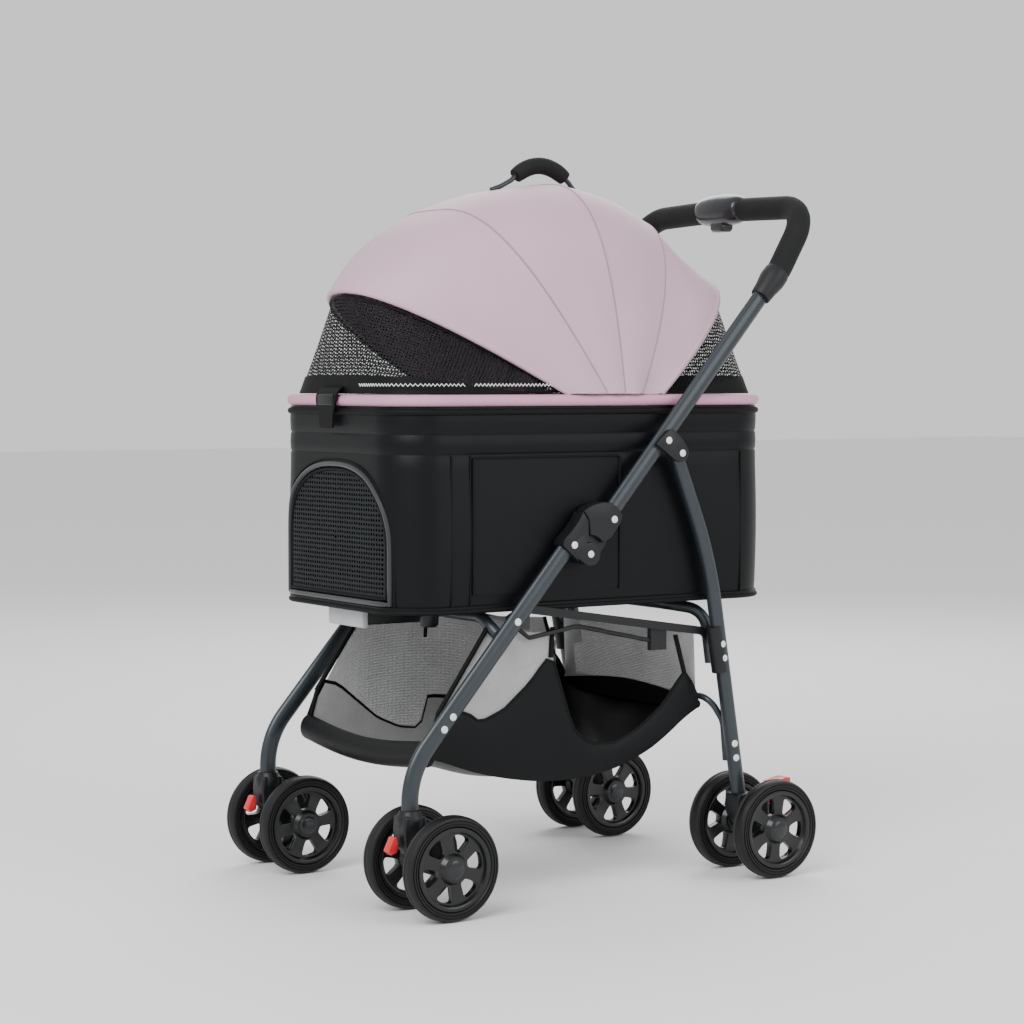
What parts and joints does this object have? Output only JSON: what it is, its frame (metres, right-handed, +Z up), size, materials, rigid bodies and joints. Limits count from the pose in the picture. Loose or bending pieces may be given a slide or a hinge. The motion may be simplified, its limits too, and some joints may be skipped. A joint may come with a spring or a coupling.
{
  "type": "pet stroller",
  "caption": "Folding pet stroller: U-handle tube frame, twin-wheel casters, lift-off fabric carrier with a mesh front door and folding hood, sling basket below.",
  "frame": {"origin": "middle of the footprint on the ground", "axes": "+Z up, the front of the stroller faces -Y, +X is its left side"},
  "size_m": [0.5, 0.696, 0.9798],
  "materials": {
    "frame_paint": "satin",
    "moulding": "matt",
    "console_gloss": "gloss",
    "lever_red": "gloss",
    "axle_steel": "brushed",
    "wheel_black": "matt",
    "grip_foam": "matt",
    "carrier_cloth": "woven",
    "hood_cloth": "woven",
    "rim_cloth": "woven",
    "mesh_cloth": "mesh",
    "rib_plastic": "matt",
    "catch_grey": "matt"
  },
  "bodies": {
    "rear_frame": {"rear_leg_left": "frame_paint", "rear_leg_right": "frame_paint", "rear_support_tube": "frame_paint", "basket_rear_bar": "frame_paint", "rear_housing_left": "moulding", "rear_housing_right": "moulding", "axle_rear_left": "axle_steel", "axle_rear_right": "axle_steel"},
    "side_links": {"side_link_left": "frame_paint", "side_link_right": "frame_paint", "latch_hook_left": "moulding", "latch_hook_right": "moulding", "storage_basket": "carrier_cloth"},
    "front_frame": {"front_leg_left": "frame_paint", "front_leg_right": "frame_paint", "fold_joint_lower_left": "moulding", "fold_joint_lower_right": "moulding", "front_support_tube": "frame_paint"},
    "handle": {"handle_tube_left": "frame_paint", "handle_tube_right": "frame_paint", "handle_grip_left": "grip_foam", "handle_grip_right": "grip_foam", "handle_console": "console_gloss", "fold_joint_upper_left": "moulding", "fold_joint_upper_right": "moulding", "leg_bracket_left": "moulding", "leg_bracket_right": "moulding"},
    "fold_trigger": {"fold_trigger": "moulding"},
    "carrier": {"carrier_shell": "carrier_cloth", "carrier_rim": "rim_cloth", "carrier_base": "moulding", "front_catch": "catch_grey", "floor_cushion": "carrier_cloth", "mesh_canopy": "mesh_cloth", "hood_rib_centre": "rib_plastic", "carry_handle_bar": "frame_paint", "carry_handle_grip": "grip_foam", "hood_front_fabric": "hood_cloth", "hood_rear_fabric": "hood_cloth"},
    "front_door": {"front_door": "mesh_cloth"},
    "hood_rib_front": {"hood_rib_front": "rib_plastic"},
    "hood_lip_front": {"hood_lip_front": "rib_plastic"},
    "hood_rib_rear": {"hood_rib_rear": "rib_plastic"},
    "hood_lip_rear": {"hood_lip_rear": "rib_plastic"},
    "caster_left": {"caster_left": "moulding", "axle_front_left": "axle_steel"},
    "swivel_lock_left": {"swivel_lock_left": "lever_red"},
    "brake_pedal_left": {"brake_pedal_left": "lever_red"},
    "wheel_front_left_outer": {"wheel_front_left_outer": "wheel_black"},
    "wheel_rear_left_outer": {"wheel_rear_left_outer": "wheel_black"},
    "wheel_front_left_inner": {"wheel_front_left_inner": "wheel_black"},
    "wheel_rear_left_inner": {"wheel_rear_left_inner": "wheel_black"},
    "caster_right": {"caster_right": "moulding", "axle_front_right": "axle_steel"},
    "swivel_lock_right": {"swivel_lock_right": "lever_red"},
    "brake_pedal_right": {"brake_pedal_right": "lever_red"},
    "wheel_front_right_outer": {"wheel_front_right_outer": "wheel_black"},
    "wheel_rear_right_outer": {"wheel_rear_right_outer": "wheel_black"},
    "wheel_front_right_inner": {"wheel_front_right_inner": "wheel_black"},
    "wheel_rear_right_inner": {"wheel_rear_right_inner": "wheel_black"}
  },
  "joints": [
    {"name": "handle_fold", "type": "hinge", "parent": "front_frame", "child": "handle", "pos_m": [0, -0.0422, 0.4487], "axis": [-1, 0, 0], "range_deg": [0, 90], "deforming": ["storage_basket"]},
    {"name": "link_fold", "type": "hinge", "parent": "rear_frame", "child": "side_links", "pos_m": [0, 0.1786, 0.3182], "axis": [-1, 0, 0], "range_deg": [0, 19.2]},
    {"name": "front_fold", "type": "hinge", "parent": "side_links", "child": "front_frame", "pos_m": [0, -0.1535, 0.3654], "axis": [1, 0, 0], "range_deg": [0, 59.6]},
    {"name": "caster_swivel_left", "type": "hinge", "parent": "front_frame", "child": "caster_left", "pos_m": [0.19, -0.3115, 0.13], "axis": [0, 0, 1], "continuous": true},
    {"name": "swivel_lock_left", "type": "hinge", "parent": "caster_left", "child": "swivel_lock_left", "pos_m": [0.19, -0.336, 0.101], "axis": [-1, 0, 0], "range_deg": [0, 20]},
    {"name": "brake_left", "type": "hinge", "parent": "rear_frame", "child": "brake_pedal_left", "pos_m": [0.19, 0.259, 0.098], "axis": [-1, 0, 0], "range_deg": [0, 20]},
    {"name": "front_wheel_spin_left_outer", "type": "hinge", "parent": "caster_left", "child": "wheel_front_left_outer", "pos_m": [0.2385, -0.281, 0.067], "axis": [1, 0, 0], "continuous": true},
    {"name": "rear_wheel_spin_left_outer", "type": "hinge", "parent": "rear_frame", "child": "wheel_rear_left_outer", "pos_m": [0.2385, 0.237, 0.067], "axis": [1, 0, 0], "continuous": true},
    {"name": "front_wheel_spin_left_inner", "type": "hinge", "parent": "caster_left", "child": "wheel_front_left_inner", "pos_m": [0.1415, -0.281, 0.067], "axis": [1, 0, 0], "continuous": true},
    {"name": "rear_wheel_spin_left_inner", "type": "hinge", "parent": "rear_frame", "child": "wheel_rear_left_inner", "pos_m": [0.1415, 0.237, 0.067], "axis": [1, 0, 0], "continuous": true},
    {"name": "caster_swivel_right", "type": "hinge", "parent": "front_frame", "child": "caster_right", "pos_m": [-0.19, -0.3115, 0.13], "axis": [0, 0, 1], "continuous": true},
    {"name": "swivel_lock_right", "type": "hinge", "parent": "caster_right", "child": "swivel_lock_right", "pos_m": [-0.19, -0.336, 0.101], "axis": [-1, 0, 0], "range_deg": [0, 20]},
    {"name": "brake_right", "type": "hinge", "parent": "rear_frame", "child": "brake_pedal_right", "pos_m": [-0.19, 0.259, 0.098], "axis": [-1, 0, 0], "range_deg": [0, 20]},
    {"name": "front_wheel_spin_right_outer", "type": "hinge", "parent": "caster_right", "child": "wheel_front_right_outer", "pos_m": [-0.2385, -0.281, 0.067], "axis": [1, 0, 0], "continuous": true},
    {"name": "rear_wheel_spin_right_outer", "type": "hinge", "parent": "rear_frame", "child": "wheel_rear_right_outer", "pos_m": [-0.2385, 0.237, 0.067], "axis": [1, 0, 0], "continuous": true},
    {"name": "front_wheel_spin_right_inner", "type": "hinge", "parent": "caster_right", "child": "wheel_front_right_inner", "pos_m": [-0.1415, -0.281, 0.067], "axis": [1, 0, 0], "continuous": true},
    {"name": "rear_wheel_spin_right_inner", "type": "hinge", "parent": "rear_frame", "child": "wheel_rear_right_inner", "pos_m": [-0.1415, 0.237, 0.067], "axis": [1, 0, 0], "continuous": true},
    {"name": "trigger_squeeze", "type": "slide", "parent": "handle", "child": "fold_trigger", "axis": [0, 0, 1], "range_m": [0, 0.006], "stiffness_N_per_m": 400, "springref_m": -0.004},
    {"name": "carrier_lift", "type": "slide", "parent": "front_frame", "child": "carrier", "axis": [0, -0.1701, 0.9854], "range_m": [0, 0.62]},
    {"name": "door_open", "type": "hinge", "parent": "carrier", "child": "front_door", "pos_m": [0, -0.3115, 0.394], "axis": [1, 0, 0], "range_deg": [0, 160]},
    {"name": "hood_front_fold", "type": "hinge", "parent": "hood_rib_front", "child": "hood_lip_front", "pos_m": [0, 0.0386, 0.6076], "axis": [-1, 0, 0], "range_deg": [0, 20], "deforming": ["hood_front_fabric"]},
    {"name": "hood_front_rib_fold", "type": "hinge", "parent": "carrier", "child": "hood_rib_front", "pos_m": [0, 0.0386, 0.6076], "axis": [-1, 0, 0], "range_deg": [0, 7]},
    {"name": "hood_rear_fold", "type": "hinge", "parent": "hood_rib_rear", "child": "hood_lip_rear", "pos_m": [0, 0.0386, 0.6076], "axis": [1, 0, 0], "range_deg": [0, 12], "deforming": ["hood_rear_fabric"]},
    {"name": "hood_rear_rib_fold", "type": "hinge", "parent": "carrier", "child": "hood_rib_rear", "pos_m": [0, 0.0386, 0.6076], "axis": [1, 0, 0], "range_deg": [0, 18.5]}
  ],
  "couplings": [
    {"joint": "link_fold", "follows": "handle_fold", "ratio": 0.21022},
    {"joint": "front_fold", "follows": "handle_fold", "ratio": 0.65811},
    {"joint": "hood_front_rib_fold", "follows": "hood_front_fold", "ratio": 0.33333},
    {"joint": "hood_rear_rib_fold", "follows": "hood_rear_fold", "ratio": 1.5}
  ]
}
